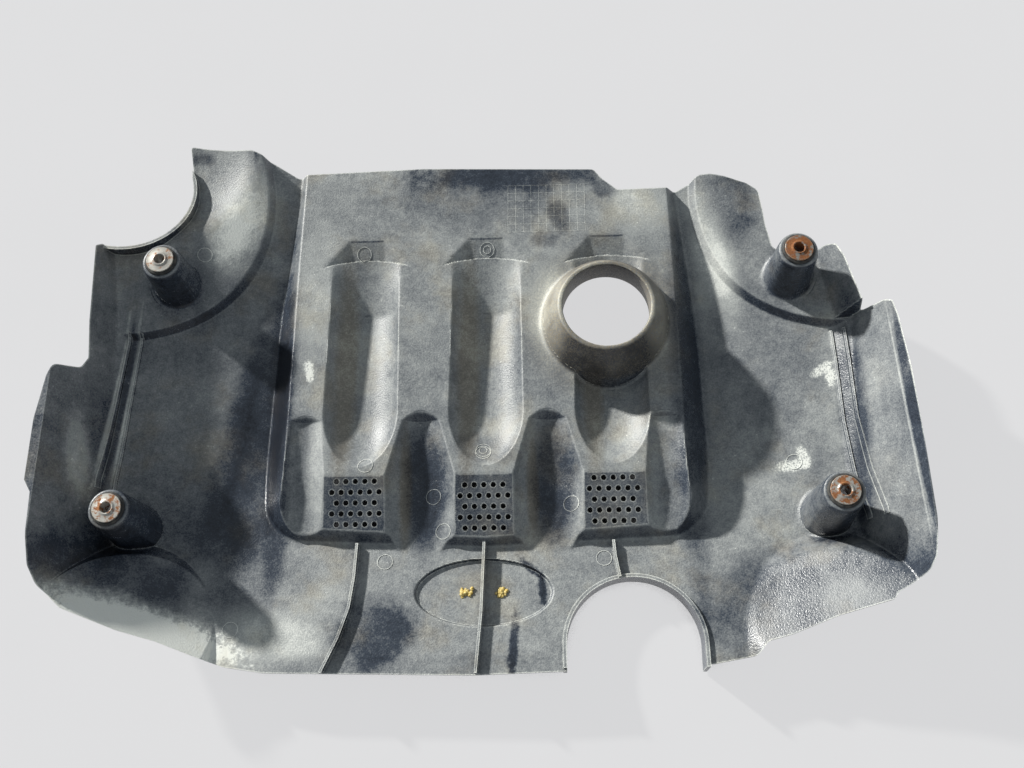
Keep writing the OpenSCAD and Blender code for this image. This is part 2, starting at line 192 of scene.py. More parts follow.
# Cover: one injection moulding in black plastic with an even wall. Its skin is a stepped form
# with soft corners, so it is drawn here as the height of that form, and as the same form set in
# by the wall for the outer face. Lengths in this section are millimetres.
wall = 3.0
front = -235.5
back = 235.5
mid_x = 3.0
half_w = 344.0
left_rim = mid_x - half_w
right_rim = mid_x + half_w
lug_w = 6.0
rim_z = 94.0
wall_slope = 1.45
front_slope = 0.16
panel_slope = 0.012
plate_slope = 0.25
wing_slope_x = 0.185
wing_slope_y = 0.055
panel_x = mid_x + 3.5
panel_w = 328.0
panel_z = 37.0
crease_y = back - 130
lip_y = front + 109.5
plate_y = lip_y + 51.5
plate_z = panel_z - panel_slope * (crease_y - plate_y)
lip_z = plate_z - plate_slope * (plate_y - lip_y)
dip_y = crease_y - 32
front_y = front + 99
front_z = 15.0
pitch = 105.5
collar_place = (mid_x + 107, back - 178)
collar_z = panel_z + 34
filler_r = 36.5
seat_place = (mid_x + 3, front + 66)
arch_place = (125.0, front + 23)
arch_r = 53.5
notch_place = (left_rim + 29, back - 51)
notch_r = 57.0
boss_z = 84.0
boss_places = {"rear_left": (-263.0, 100.5), "rear_right": (268.0, 96.5),
               "front_left": (-282.0, -113.5), "front_right": (284.0, -108.5)}


def soft_max(a, b, r):
    t = np.clip(0.5 + 0.5 * (a - b) / r, 0, 1)
    return b + (a - b) * t + r * t * (1 - t)


def soft_min(a, b, r):
    return -soft_max(-a, -b, r)


def plane(x, y, at, slope_x, slope_y, k):
    drop = k * math.sqrt(1 + slope_x ** 2 + slope_y ** 2)
    return at[2] + slope_x * (x - at[0]) + slope_y * (y - at[1]) - drop


def front_skin(x, y, k):
    return plane(x, y, (0, front_y, front_z), 0, -front_slope, k)


def wing(x, y, side, k, rise=0.0):
    steep = math.sqrt(1 + wall_slope ** 2)
    valley_x = panel_x + side * (panel_w / 2 + (panel_z - wall * steep) / wall_slope)
    valley_y = front_y + (front_z - wall * math.sqrt(1 + front_slope ** 2)) / front_slope
    valley_z = wall * math.sqrt(1 + wing_slope_x ** 2 + wing_slope_y ** 2) + rise
    bend_y = back - 157
    near = plane(x, y, (valley_x, valley_y, valley_z), side * wing_slope_x, wing_slope_y, k)
    bend_z = valley_z + wing_slope_y * (bend_y - valley_y)
    far = plane(x, y, (valley_x, bend_y, bend_z), side * wing_slope_x, 0.21, k)
    return soft_max(near, far, 6)


def crease(y, side):
    """How far a ledge's edge is rounded: crisp, but soft at the front right corner."""
    return 1 + 7 * np.clip((-95 - y) / 25, 0, 1) * (side > 0)


def ledge(x, y, side, k):
    run = 0.6
    edge = k * math.sqrt(1 + run ** 2)
    straight = plane(x, y, (mid_x + side * (half_w - 41), 0, 30), side * 0.85, wing_slope_y, k)
    rear = (184 - edge - np.hypot(x - mid_x - side * (half_w - 7), y - back + 36)) / run - 20
    fore = (113 - edge - np.hypot(x - mid_x - side * (half_w - 49), y - front - 20)) / run - 20
    zone = soft_max(soft_max(straight, rear, 3), fore, 3)
    corner = plane(x, y, (mid_x + side * (half_w - 120), front + 16, 39), side * 0.46, -0.33, k)
    top = soft_max(wing(x, y, side, k, 7.0), corner, 14)
    return soft_min(zone, top, crease(y, side))


def horn_hollow(x, y, side, k):
    r = 127.0 + k
    d = np.hypot(x - mid_x - side * (half_w - 90), y - back + 43)
    return 166 - np.sqrt(np.maximum(r * r - np.minimum(d, r) ** 2, 0)) + 4 * np.maximum(d - r, 0)


def side_walls(x, y, k):
    left = plane(x, y, (mid_x - half_w + 32, 0, 38), -1.84, 0, k)
    right = plane(x, y, (mid_x + half_w - 32, 0, 38), 1.84, 0, k)
    inner = plane(x, y, (right_rim - 33, back - 157, 68), 1.84, 0.47, k)
    inner = soft_min(inner, 20 + 9 * (y - (back - 182 + k)), 2)
    return np.maximum(np.maximum(left, right), inner)


def hollow(x, top, half, depth, k):
    """A round hollow across x, half wide to each side and depth deep where it leaves the top."""
    half = np.maximum(half, 0.1) + k
    depth = np.maximum(depth, 0.02) + k
    r = (half ** 2 + depth ** 2) / (2 * depth)
    z = top - depth + r - np.sqrt(np.maximum(r ** 2 - np.minimum(np.abs(x), r) ** 2, 0))
    return z + 3 * np.maximum(np.abs(x) - r, 0)


def channel(x, y, k):
    """A trough that is deepest near its rear end and runs out to nothing at its rounded front end."""
    ahead = dip_y - y
    top = panel_z - panel_slope * (crease_y - y)
    floor_z = panel_z - 19 + soft_max(0.02 * ahead, -0.33 * ahead, 0.8)
    u = np.clip((ahead - 92) / (49 + k), 0, 1)
    half = (29.6 + 0.017 * np.clip(ahead, 0, 100)) * np.sqrt(1 - u * u)
    trough = hollow(x, top, half, (top - floor_z) * (1 - u * u) ** 0.8, k)
    trough = trough + 6 * np.maximum(y - (crease_y + 17 + k), 0) + 20 * (u >= 1)
    # three shallow facets slope down to its rear end, where they stop at a low curved step
    end = plane(x, y, (0, crease_y + 34.5, panel_z + 1.38), 0, 0.37, k)
    for side in (-1, 1):
        end = soft_max(end, plane(x, y, (side * 37.5, 114, panel_z + 0.35), side * 0.38, 0.37, k), 0.6)
    end = end + 6 * np.maximum(86 - k - np.hypot(x, y - (crease_y - 69)), 0)
    end = end + 8 * np.maximum(crease_y + 6 - k - y, 0)
    return soft_min(trough, end, 0.7)


def scallop(x, y, k, halves, depths):
    """Half widths and depths are given at the rear end, at the crease above the grilles and at the lip."""
    top = np.minimum(panel_z - panel_slope * (crease_y - y), plate_z + plate_slope * (y - plate_y))
    places = (lip_y, plate_y, lip_y + 104)
    half = np.interp(y, places, halves[::-1])
    depth = np.interp(y, places, depths[::-1])
    return hollow(x, top, half, depth, k) + 0.8 * np.maximum(y - (lip_y + 98 + k), 0)


def panel_walls(x, y, k):
    """Drafted walls with rounded front corners, the front one bowed and with two rounded tongues."""
    half = panel_w / 2 + (panel_z - lip_z) / wall_slope
    dx = np.abs(x - panel_x)
    side = lip_z + wall_slope * (half - dx)
    fore = lip_z + wall_slope * (y - lip_y) - 0.0725 * dx
    corner = lip_z + wall_slope * (30.3 - np.hypot(dx - half + 30, y - lip_y - 36))
    walls = np.minimum(side, fore)
    walls = np.where((dx > half - 30) & (y < lip_y + 36), np.minimum(walls, corner), walls)
    for i in (-0.5, 0.5):
        across, along = np.abs(x - panel_x - i * pitch) / 27, np.abs(y - lip_y - 22) / 30
        tongue = 16 + wall_slope * 30 * (1 - (across ** 3.5 + along ** 3.5) ** (1 / 3.5))
        walls = soft_max(walls, tongue, 3)
    return walls - k * math.sqrt(1 + wall_slope ** 2)


def panel(x, y, k):
    top = soft_max(plane(x, y, (0, crease_y, panel_z), 0, panel_slope, k),
                   plane(x, y, (0, crease_y, panel_z), 0, 0.04, k), 0.05)
    top = soft_min(top, plane(x, y, (0, plate_y, plate_z), 0, plate_slope, k), 0.3)
    z = soft_min(panel_walls(x, y, k), top, 1.6)
    for i in (-1, 0, 1):
        z = soft_min(z, channel(x - panel_x - 1.5 - i * pitch, y, k), 0.9)
    for i in (-0.5, 0.5):
        z = soft_min(z, scallop(x - panel_x - i * pitch, y, k, (13.5, 28.5, 27.5), (6, 16, 9)), 1.4)
    for side in (-1, 1):
        z = soft_min(z, scallop(x - panel_x - side * 149.5, y, k, (12, 17, 15), (3.5, 8, 4.5)), 1.4)
    return z


def foot_fillet(z, x, y, at, r, size):
    """The skin, raised in a fillet round the foot of a boss or the collar."""
    reach = np.clip((np.hypot(x - at[0], y - at[1]) - r) / size, 0, 1)
    return z + size * (1 - np.sqrt(1 - (1 - reach) ** 2)) * (reach < 1)


def form(x, y, k):
    """The height of the inner face, or with k = wall that of the outer face."""
    z = front_skin(x, y, k)
    for side in (-1, 1):
        z = soft_max(z, wing(x, y, side, k), 5)
        z = soft_max(z, ledge(x, y, side, k), crease(y, side))
    for side in (-1, 1):
        z = soft_min(z, horn_hollow(x, y, side, k), 5)
    z = soft_max(z, side_walls(x, y, k), 3)
    z = soft_max(z, panel(x, y, k), 3)
    seat = ((x - seat_place[0]) / (54 + k)) ** 2 + ((y - seat_place[1]) / (27 + k)) ** 2
    pocket = front_skin(x, y, 3 + k) + np.maximum(np.sqrt(seat) - 1, 0) * 90
    z = soft_min(z, pocket, 1.2)
    if k == 0:
        z = foot_fillet(z, x, y, collar_place, 53.2, 5)
        for at in boss_places.values():
            z = foot_fillet(z, x, y, at, 19.5, 5)
    return z


# The plan is cut into square cells, halved wherever the surface bends within them.
step = 0.8
columns, rows, coarse = 880, 608, 16
grid_x = (np.arange(columns + 1) - columns / 2) * step
grid_y = (np.arange(rows + 1) - rows / 2) * step
plan_x, plan_y = np.meshgrid(grid_x, grid_y, indexing="ij")
inner_z = form(plan_x, plan_y, 0.0)
outer_z = form(plan_x, plan_y, wall)


def bend(z, n):
    """How far a face leaves the plane of each square cell of n steps."""
    a, b = z[:-1:n, :-1:n], z[n::n, :-1:n]
    c, d = z[:-1:n, n::n], z[n::n, n::n]
    worst = np.zeros_like(a)
    for i in range(0, n + 1, max(1, n // 4)):
        for j in range(0, n + 1, max(1, n // 4)):
            u, v = i / n, j / n
            flat = a * (1 - u) * (1 - v) + b * u * (1 - v) + c * (1 - u) * v + d * u * v
            there = z[i:i + (a.shape[0] - 1) * n + 1:n, j:j + (a.shape[1] - 1) * n + 1:n]
            worst = np.maximum(worst, np.abs(there - flat))
    return worst


def plan_cells(tolerance):
    """Square cells of 1 to 16 steps, none next to one that is less than half as wide."""
    split = {}
    n = 2
    below_split = None
    while n <= coarse:
        need = np.maximum(bend(inner_z, n), 0.6 * bend(outer_z, n)) > tolerance
        if below_split is not None:
            wide = np.pad(below_split, 1)
            wide = (wide[:-2, 1:-1] | wide[2:, 1:-1] | wide[1:-1, :-2] | wide[1:-1, 2:] | wide[1:-1, 1:-1])
            need |= wide[::2, ::2] | wide[1::2, ::2] | wide[::2, 1::2] | wide[1::2, 1::2]
        split[n] = need
        below_split = need
        n *= 2
    cells = []
    alive = np.ones((columns // coarse, rows // coarse), bool)
    n = coarse
    while n > 1:
        leaf = alive & ~split[n]
        i, j = np.nonzero(leaf)
        cells.append((n, i * n, j * n))
        alive = np.repeat(np.repeat(alive & split[n], 2, 0), 2, 1)
        n //= 2
    i, j = np.nonzero(alive)
    cells.append((1, i, j))
    return cells


def plan_triangles(cells):
    """The cells' grid points, the points' numbers and the triangles that fill the cells."""
    used = np.zeros((columns + 1, rows + 1), bool)
    for n, i, j in cells:
        for di, dj in ((0, 0), (n, 0), (n, n), (0, n)):
            used[i + di, j + dj] = True
    triangles = []
    for n, i, j in cells:
        corner = [(i, j), (i + n, j), (i + n, j + n), (i, j + n)]
        if n == 1:
            plain = np.ones(len(i), bool)
        else:
            h = n // 2
            middle = [(i + h, j), (i + n, j + h), (i + h, j + n), (i, j + h)]
            flags = [used[m] for m in middle]
            plain = ~(flags[0] | flags[1] | flags[2] | flags[3])
        c = [(a[plain], b[plain]) for a, b in corner]
        short = np.abs(inner_z[c[0]] - inner_z[c[2]]) <= np.abs(inner_z[c[1]] - inner_z[c[3]])
        for sel, order in ((short, ((0, 1, 2), (0, 2, 3))), (~short, ((0, 1, 3), (1, 2, 3)))):
            for tri in order:
                triangles.append([(c[q][0][sel], c[q][1][sel]) for q in tri])
        if n == 1:
            continue
        for combo in range(1, 16):
            has = [bool(combo >> q & 1) for q in range(4)]
            sel = np.ones(len(i), bool)
            for q in range(4):
                sel &= flags[q] == has[q]
            if not sel.any():
                continue
            centre = (i[sel] + h, j[sel] + h)
            used[centre] = True
            ring = []
            for q in range(4):
                ring.append((corner[q][0][sel], corner[q][1][sel]))
                if has[q]:
                    ring.append((middle[q][0][sel], middle[q][1][sel]))
            for q in range(len(ring)):
                triangles.append([centre, ring[q], ring[(q + 1) % len(ring)]])
    number = np.full(used.shape, -1)
    at = np.nonzero(used)
    number[at] = np.arange(len(at[0]))
    faces = np.concatenate([np.stack([number[p] for p in tri], 1) for tri in triangles])
    return at, number, faces


def solid_below(name, at, number, faces, z, base_z):
    """Everything under a face, down to a flat base."""
    count = len(at[0])
    top = np.stack([plan_x[at], plan_y[at], z[at]], 1)
    edge = []
    for line in (number[:, 0], number[-1, :], number[::-1, -1], number[0, ::-1]):
        edge += [v for v in line if v >= 0][:-1]
    low = top[edge].copy()
    low[:, 2] = base_z
    points = np.concatenate([top, low]) / 1000
    polygons = faces.tolist()
    m = len(edge)
    for q in range(m):
        r = (q + 1) % m
        polygons.append((edge[r], edge[q], count + q))
        polygons.append((edge[r], count + q, count + r))
    polygons.append([count + q for q in range(m - 1, -1, -1)])
    mesh = bpy.data.meshes.new(name)
    mesh.from_pydata(points.tolist(), [], polygons)
    return as_object(name, mesh)


def as_object(name, mesh):
    mesh.validate()
    piece = bpy.data.objects.new(name, mesh)
    bpy.context.scene.collection.objects.link(piece)
    return piece


def combine(piece, tool, operation):
    change = piece.modifiers.new("change", "BOOLEAN")
    change.operation = operation
    change.solver = "MANIFOLD"
    change.object = tool
    bpy.context.view_layer.update()
    result = bpy.data.meshes.new_from_object(piece.evaluated_get(bpy.context.evaluated_depsgraph_get()))
    piece.modifiers.remove(change)
    old = piece.data
    piece.data = result
    bpy.data.meshes.remove(old)
    spent = tool.data
    bpy.data.objects.remove(tool)
    bpy.data.meshes.remove(spent)


def turned(name, profile, at, steps=96):
    """A solid of revolution about Z from (radius, height) points, first and last on the axis."""
    points = [(at[0], at[1], profile[0][1]), (at[0], at[1], profile[-1][1])]
    polygons = []
    rings = profile[1:-1]
    for r, z in rings:
        for q in range(steps):
            a = 2 * math.pi * q / steps
            points.append((at[0] + r * math.cos(a), at[1] + r * math.sin(a), z))
    for q in range(steps):
        p = (q + 1) % steps
        polygons.append((0, 2 + p, 2 + q))
        for row in range(len(rings) - 1):
            a, b = 2 + row * steps, 2 + (row + 1) * steps
            polygons.append((a + q, a + p, b + p, b + q))
        last = 2 + (len(rings) - 1) * steps
        polygons.append((1, last + q, last + p))
    mesh = bpy.data.meshes.new(name)
    mesh.from_pydata([(x / 1000, y / 1000, z / 1000) for x, y, z in points], [], polygons)
    return as_object(name, mesh)


def prism(name, outline, low, high):
    """A solid over a plan outline, its faces at the heights that low(x, y) and high(x, y) give."""
    n = len(outline)
    points = [(x, y, low(x, y)) for x, y in outline] + [(x, y, high(x, y)) for x, y in outline]
    polygons = [list(range(n - 1, -1, -1)), list(range(n, 2 * n))]
    polygons += [(q, (q + 1) % n, n + (q + 1) % n, n + q) for q in range(n)]
    mesh = bpy.data.meshes.new(name)
    mesh.from_pydata([(x / 1000, y / 1000, z / 1000) for x, y, z in points], [], polygons)
    return as_object(name, mesh)


def rounded(corners, steps=6):
    """An outline with an arc at each (x, y, radius) corner."""
    path = []
    for q, (x, y, r) in enumerate(corners):
        before, after = corners[q - 1], corners[(q + 1) % len(corners)]
        p = Vector((x, y))
        a = Vector(before[:2]) - p
        b = Vector(after[:2]) - p
        half = a.angle(b) / 2
        reach = min(r / math.tan(half), 0.45 * a.length, 0.45 * b.length)
        if reach < 0.2 or half > math.radians(88.5):
            path.append((x, y))
            continue
        start, end = p + a.normalized() * reach, p + b.normalized() * reach
        for s in range(steps + 1):
            t = s / steps
            path.append(tuple(start * (1 - t) ** 2 + p * 2 * t * (1 - t) + end * t ** 2))
    return path


cover_outline = rounded([
    # rear left horn
    (left_rim + 41, back - 46, 0), (left_rim + 83, back - 33, 0), (left_rim + 79, back + 0.3, 2.5),
    (left_rim + 137, back - 8, 12), (left_rim + 156, back - 17, 8),
    # rear edge of the panel
    (panel_x - panel_w / 2 - 6, back - 29, 5), (panel_x - 56, back - 26, 5), (panel_x + 97, back - 31, 5),
    (panel_x + 105, back - 41, 5), (panel_x + 118, back - 52, 6), (panel_x + panel_w / 2 + 5, back - 51, 5),
    (panel_x + panel_w / 2 + 27, back - 41, 6),
    # rear right horn
    (right_rim - 141, back - 41, 5), (right_rim - 127, back - 44, 8), (right_rim - 109, back - 49, 8),
    (right_rim - 99, back - 56, 8), (right_rim - 98, back - 69, 8), (right_rim - 96, back - 91, 8),
    (right_rim - 91, back - 112, 5), (right_rim - 86, back - 116, 5), (right_rim - 58, back - 120, 5),
    (right_rim - 49, back - 120, 6), (right_rim - 43, back - 124, 6), (right_rim - 38, back - 137, 8),
    (right_rim - 28, back - 176, 3), (right_rim - 24, back - 180, 3), (right_rim - 12, back - 181, 4),
    (right_rim - 8, back - 185, 4),
    # right rim
    (right_rim - 6, back - 201, 20), (right_rim - 3, back - 246, 30), (right_rim, front + 104, 30),
    (right_rim - 3, front + 76, 15), (right_rim - 7, front + 66, 10), (right_rim - 17, front + 59, 10),
    (right_rim - 28, front + 53, 4), (right_rim - 31, front + 48, 4),
    # front edge
    (right_rim - 69, front + 39, 20), (right_rim - 103, front + 27, 20), (right_rim - 121, front + 23, 8),
    (right_rim - 129, front + 13, 8), (right_rim - 162, front + 7, 5), (arch_place[0], front + 4, 5),
    (0, front, 30), (left_rim + 176, front + 3, 30), (left_rim + 144, front + 8, 30),
    (left_rim + 120, front + 16, 20), (left_rim + 93, front + 26, 20), (left_rim + 66, front + 33, 20),
    (left_rim + 26, front + 48, 14),
    # left rim
    (left_rim + 9, front + 64, 14), (left_rim + 4, front + 78, 14), (left_rim + 1, front + 104, 20),
    (left_rim, front + 134, 4), (left_rim - lug_w, front + 144, 2), (left_rim - lug_w, front + 194, 30),
    (left_rim - 1, front + 231, 10), (left_rim + 3, front + 242, 5), (left_rim + 15, front + 247, 5),
    (left_rim + 18, front + 258, 8), (left_rim + 16, front + 291, 20), (left_rim + 14, front + 360, 4),
    (left_rim + 17, front + 364, 2)][::-1])


def flat_at(z):
    return lambda x, y: z


def front_plus(rise):
    return lambda x, y: front_z - front_slope * (y - front_y) + rise


def dome_profile(k):
    r0, r1, z0 = 54 - k, filler_r + 3.5 - k, panel_z - 4
    h = collar_z - k - z0
    side = [(r0 + (r1 - r0) * t / 10 + 3 * math.sin(math.pi * t / 10), z0 + h * t / 10) for t in range(10)]
    soft = [(r1 + 1.0, z0 + h - 1.6), (r1 + 0.4, z0 + h - 0.6), (r1 - 0.6, z0 + h)]
    return [(0, -40), (r0, -40)] + side + soft + [(0, z0 + h)]


flatness = 0.09
at, number, faces = plan_triangles(plan_cells(flatness))
cover = solid_below("cover_skin", at, number, faces, inner_z, -60)
combine(cover, turned("dome", dome_profile(0), collar_place, 144), "UNION")
for place in boss_places.values():
    combine(cover, turned("boss", [(0, -30), (22, -30), (22, 0), (16.9, 78), (16.4, 81), (15.9, 83),
                                   (14.9, 83.9), (14.0, boss_z), (0, boss_z)], place), "UNION")


def rib(name, path, width=2.2, rise=6.0):
    left_side, right_side = [], []
    for q, (x, y) in enumerate(path):
        x0, y0 = path[max(q - 1, 0)]
        x1, y1 = path[min(q + 1, len(path) - 1)]
        n = Vector((y0 - y1, x1 - x0)).normalized() * width / 2
        left_side.append((x + n.x, y + n.y))
        right_side.append((x - n.x, y - n.y))
    return prism(name, right_side + left_side[::-1], flat_at(-20), front_plus(rise))


for path in ([(mid_x - 101, lip_y - 2), (mid_x - 101.5, lip_y - 30), (mid_x - 104, lip_y - 56),
              (mid_x - 111, lip_y - 80), (mid_x - 123, front + 1)],
             [(mid_x + 3, lip_y - 2), (mid_x + 1.6, lip_y - 60), (mid_x - 2, front + 1)],
             [(mid_x + 108, lip_y - 2), (mid_x + 109, lip_y - 16), (mid_x + 112, lip_y - 33)]):
    combine(cover, rib("rib", path), "UNION")


def circle(place, r, steps, start=0.0, end=2 * math.pi):
    return [(place[0] + r * math.cos(start + (end - start) * q / steps),
             place[1] + r * math.sin(start + (end - start) * q / steps)) for q in range(steps + 1)]


def notch_top(x, y):
    return 46 - 0.12 * (x - left_rim - 80) - 0.13 * (y - back + 30)


notch_ring = circle(notch_place, notch_r + wall, 60, -2.2, 1.1)
notch_ring += circle(notch_place, notch_r - 6, 60, 1.1, -2.2)
combine(cover, prism("notch_wall", notch_ring, flat_at(10), notch_top), "UNION")
trim = prism("trim", cover_outline, flat_at(-100), flat_at(rim_z))
combine(cover, trim, "INTERSECT")
under = solid_below("under", at, number, faces, outer_z, -140)
combine(under, turned("dome", dome_profile(wall), collar_place, 144), "UNION")
combine(cover, under, "DIFFERENCE")


def arch_path(r, foot):
    return [(arch_place[0] + r, foot)] + circle(arch_place, r, 72, 0, math.pi) + [(arch_place[0] - r, foot)]


skirt = prism("skirt", arch_path(arch_r + wall, front + 4.6) + arch_path(arch_r - 4, front + 4.6)[::-1],
              flat_at(1.5), front_plus(3))
combine(cover, skirt, "UNION")
# a lug that stands out from the left rim
lug = rounded([
    (left_rim + 0.5, front + 134, 0), (left_rim, front + 134, 0), (left_rim - lug_w, front + 144, 1),
    (left_rim - lug_w, front + 194, 30), (left_rim - 1, front + 231, 0), (left_rim + 0.5, front + 231, 0)])
combine(cover, prism("lug", lug[::-1], flat_at(rim_z - wall), flat_at(rim_z)), "UNION")
combine(cover, prism("arch", arch_path(arch_r, front - 20), flat_at(-50), flat_at(120)), "DIFFERENCE")
combine(cover, prism("notch", circle(notch_place, notch_r, 119), flat_at(-50), flat_at(120)), "DIFFERENCE")
combine(cover, turned("spout", [(0, collar_z - 24), (filler_r + 2.6, collar_z - 24),
                                (filler_r + 2.6, collar_z - 1), (filler_r + 2.0, collar_z - 0.1),
                                (0, collar_z - 0.1)], collar_place, 144), "UNION")
combine(cover, turned("filler_hole", [(0, -20), (filler_r, -20), (filler_r, collar_z - 1.2),
                                      (filler_r + 0.4, collar_z - 0.3), (filler_r + 1.4, collar_z + 0.3),
                                      (filler_r + 1.4, 120), (0, 120)], collar_place, 144), "DIFFERENCE")
for place in boss_places.values():
    combine(cover, turned("hollow", [(0, -30), (20.86, -30), (13.2, 81), (9.15, 81), (9.15, 90), (0, 90)],
                          place), "DIFFERENCE")
# the grilles: rows of five and six round holes in turn
hole_profile = [(0, -10), (2.2, -10), (2.2, 60), (0, 60)]
hole_spacing, row_spacing = 7.8, 8.5
holes = []
for i in (-1, 0, 1):
    for row in range(5):
        n = 6 - (row % 2 == 0)
        for column in range(n):
            holes.append((panel_x + i * pitch + (column - (n - 1) / 2) * hole_spacing,
                          lip_y + 8 + 4.2 * abs(i) + row * row_spacing))
pins = turned("grille_pins", hole_profile, holes[0], 20)
merged = bmesh.new()
for place in holes:
    pin = turned("grille_pin", hole_profile, place, 20)
    merged.from_mesh(pin.data)
    bpy.data.objects.remove(pin)
merged.to_mesh(pins.data)
merged.free()
combine(cover, pins, "DIFFERENCE")

cover.data.shade_smooth()
cover.data.set_sharp_from_angle(angle=math.radians(38))


paint = Paint("weathered_black_plastic")
geometry = paint.put("NewGeometry")
normal_parts = paint.put("SeparateXYZ", {0: geometry["Normal"]})
facing = normal_parts["Z"]
height = paint.put("SeparateXYZ", {0: paint.place})["Z"]
clouds = paint.noise(95, 4)
blots = paint.noise(26, 5, 0.65)
flecks = paint.noise(5, 4, 0.72)
grain = paint.noise(1.3, 2)
tone = paint.math("MULTIPLY_ADD", paint.band(clouds, 0.3, 0.7), 0.12, 0.335)
tone = paint.math("MULTIPLY_ADD", paint.band(blots, 0.3, 0.7), 0.12, tone)
tone = paint.math("MULTIPLY_ADD", paint.band(flecks, 0.3, 0.7), 0.10, tone)
tone = paint.math("MULTIPLY_ADD", paint.band(grain, 0.3, 0.7), 0.12, tone)
specks = paint.math("MULTIPLY", paint.band(paint.noise(2.1, 2), 0.66, 0.74), paint.band(blots, 0.4, 0.6))
tone = paint.math("MULTIPLY_ADD", specks, 0.22, tone)
# painted shade: steep faces are darker
tone = paint.math("MULTIPLY_ADD", paint.band(facing, 0.92, 0.35), -0.16, tone)
# places painted darker, some as painted shade: middle, half sizes, turn, change of tone, raggedness
for at, size, turn, change, bite in [
        # the panel's rear edge, with a few blots
        ((25, 203), (84, 17), 0, -0.22, 1.4),
        ((18, 184), (95, 34), 0, -0.12, 0.9),
        ((72, 160), (9, 16), 20, -0.2, 1.2),
        ((60, 137), (10, 8), 0, -0.16, 1.2),
        ((112, 187), (12, 8), -20, -0.24, 1.2),
        # painted shadow over the left wing and its front corner, and a stain beside the left rib
        ((-236, 0), (84, 168), 0, -0.13, 0.3),
        ((-196, -136), (60, 38), -24, -0.05, 0.15),
        ((-285, -158), (62, 24), -14, -0.2, 0.4),
        ((-83, -203), (34, 26), 0, -0.26, 1.2),
        # painted shadow on the left wing beside the panel and on the panel's left wall, and painted shade
        # in the groove between the left ledge's beads
        ((-187, -40), (25, 120), -7, -0.22, 0.15),
        ((-166, -60), (10, 120), 0, -0.12, 0.15),
        ((-211, -45), (12, 90), -10, -0.12, 0.3),
        ((-303, -9), (2.6, 74), -4.3, -0.25, 0.1),
        ((-168, 0), (13, 160), 0, -0.12, 0.2),
        # painted shade in the scallops and on the panel's right wall; darker at the middle trough's
        # front end and at the front right boss
        ((-43, -80), (18, 48), 0, -0.36, 0.15),
        ((63, -80), (18, 48), 0, -0.36, 0.15),
        ((161, -82), (12, 42), 0, -0.14, 0.2),
        ((8, -52), (26, 14), 0, -0.12, 0.6),
        ((284, -108), (22, 22), 0, -0.08, 0.1),
        ((178, 0), (15, 165), 0, -0.22, 0.2),
        # the right wing, horn and front corner, and painted shade along the right ledge's beads
        ((250, 30), (44, 70), 0, -0.1, 0.8),
        ((222, 165), (20, 36), 10, -0.2, 0.5),
        ((140, 30), (70, 60), 0, -0.06, 0.8),
        ((310, -20), (9, 90), 0, -0.26, 0.2),
        ((262, -60), (30, 24), 0, -0.1, 0.8),
        ((262, -185), (84, 48), 10, -0.25, 0.5),
        # the front edge
        ((0, -228), (190, 9), 0, -0.06, 1.2)]:
    tone = paint.math("MULTIPLY_ADD", paint.spot(at, size, 0.4, turn, blots, bite), change, tone)
# painted shade: the bosses a little darker all round
for at in boss_places.values():
    tone = paint.math("MULTIPLY_ADD", paint.spot(at, (24, 24), 0.15), -0.05, tone)
# painted shade on the grille plates, known by their tilt, and on the wall under the panel's front lip
plate_shade = paint.math("MULTIPLY", paint.band(normal_parts["Y"], -0.19, -0.235),
                   paint.band(normal_parts["Y"], -0.31, -0.255))
plate_shade = paint.math("MULTIPLY", plate_shade, paint.band(paint.math("ABSOLUTE", normal_parts["X"]), 0.12, 0.04))
plate_shade = paint.math("MULTIPLY", plate_shade, paint.band(height, 17, 20))
tone = paint.math("MULTIPLY_ADD", plate_shade, -0.25, tone)
tone = paint.math("MULTIPLY_ADD", paint.band(normal_parts["Y"], -0.45, -0.75), -0.16, tone)
# pale haze, dust and scuffs, and some painted light: middle, half sizes, turn, change of tone, softness
for at, size, turn, change, soft in [
        # the panel's rear right corner
        ((105, 178), (34, 20), 0, 0.14, 0.7),
        ((150, 165), (22, 28), 0, 0.2, 0.7),
        # the front left corner's dusty strip, paler still as painted light in the wall's shadow,
        # and the left side wall
        ((-262, -198), (70, 17), -19, 0.62, 0.5),
        ((-318, 45), (16, 40), 0, 0.1, 0.6),
        ((-250, -202), (24, 5), -22, 0.4, 0.2),
        ((-288, -185), (14, 4), -20, 0.3, 0.2),
        # painted highlights on the left ledge's beads
        ((-307.6, -9), (1.5, 72), -4.3, 0.4, 0.5),
        ((-298.4, -9), (1.5, 72), -4.3, 0.4, 0.5),
        # the front edge on the left, with painted light where the front left boss's shadow falls
        ((-212, -214), (18, 7), -14, 0.3, 0.3),
        ((-160, -205), (40, 18), -10, 0.3, 0.6),
        # painted highlights on the horns' bright folds
        ((-214, 152), (16, 34), -24, 0.6, 0.9),
        ((211, 115), (10, 44), 12, 0.38, 0.9),
        # beside the panel, on its left edge, on the left side wall and beside the left rib
        ((182, -96), (14, 16), 0, 0.12, 0.7),
        ((-140, 90), (16, 80), 0, 0.1, 0.7),
        ((-322, -60), (6, 34), 6, 0.3, 0.4),
        ((-110, -180), (26, 22), 20, 0.1, 0.7),
        ((190, 120), (9, 80), 5, 0.12, 0.7),
        # the right side wall, the collar, the front right corner and the left half scallop
        ((326, -60), (11, 80), 0, 0.06, 0.7),
        ((64, 62), (14, 40), 0, 0.24, 0.5),
        ((153, 50), (12, 30), 0, 0.16, 0.6),
        ((290, -182), (22, 14), 12, 0.16, 0.6),
        ((-132, -60), (9, 50), 0, 0.12, 0.5)]:
    tone = paint.math("MULTIPLY_ADD", paint.spot(at, size, soft, turn, flecks), change, tone)
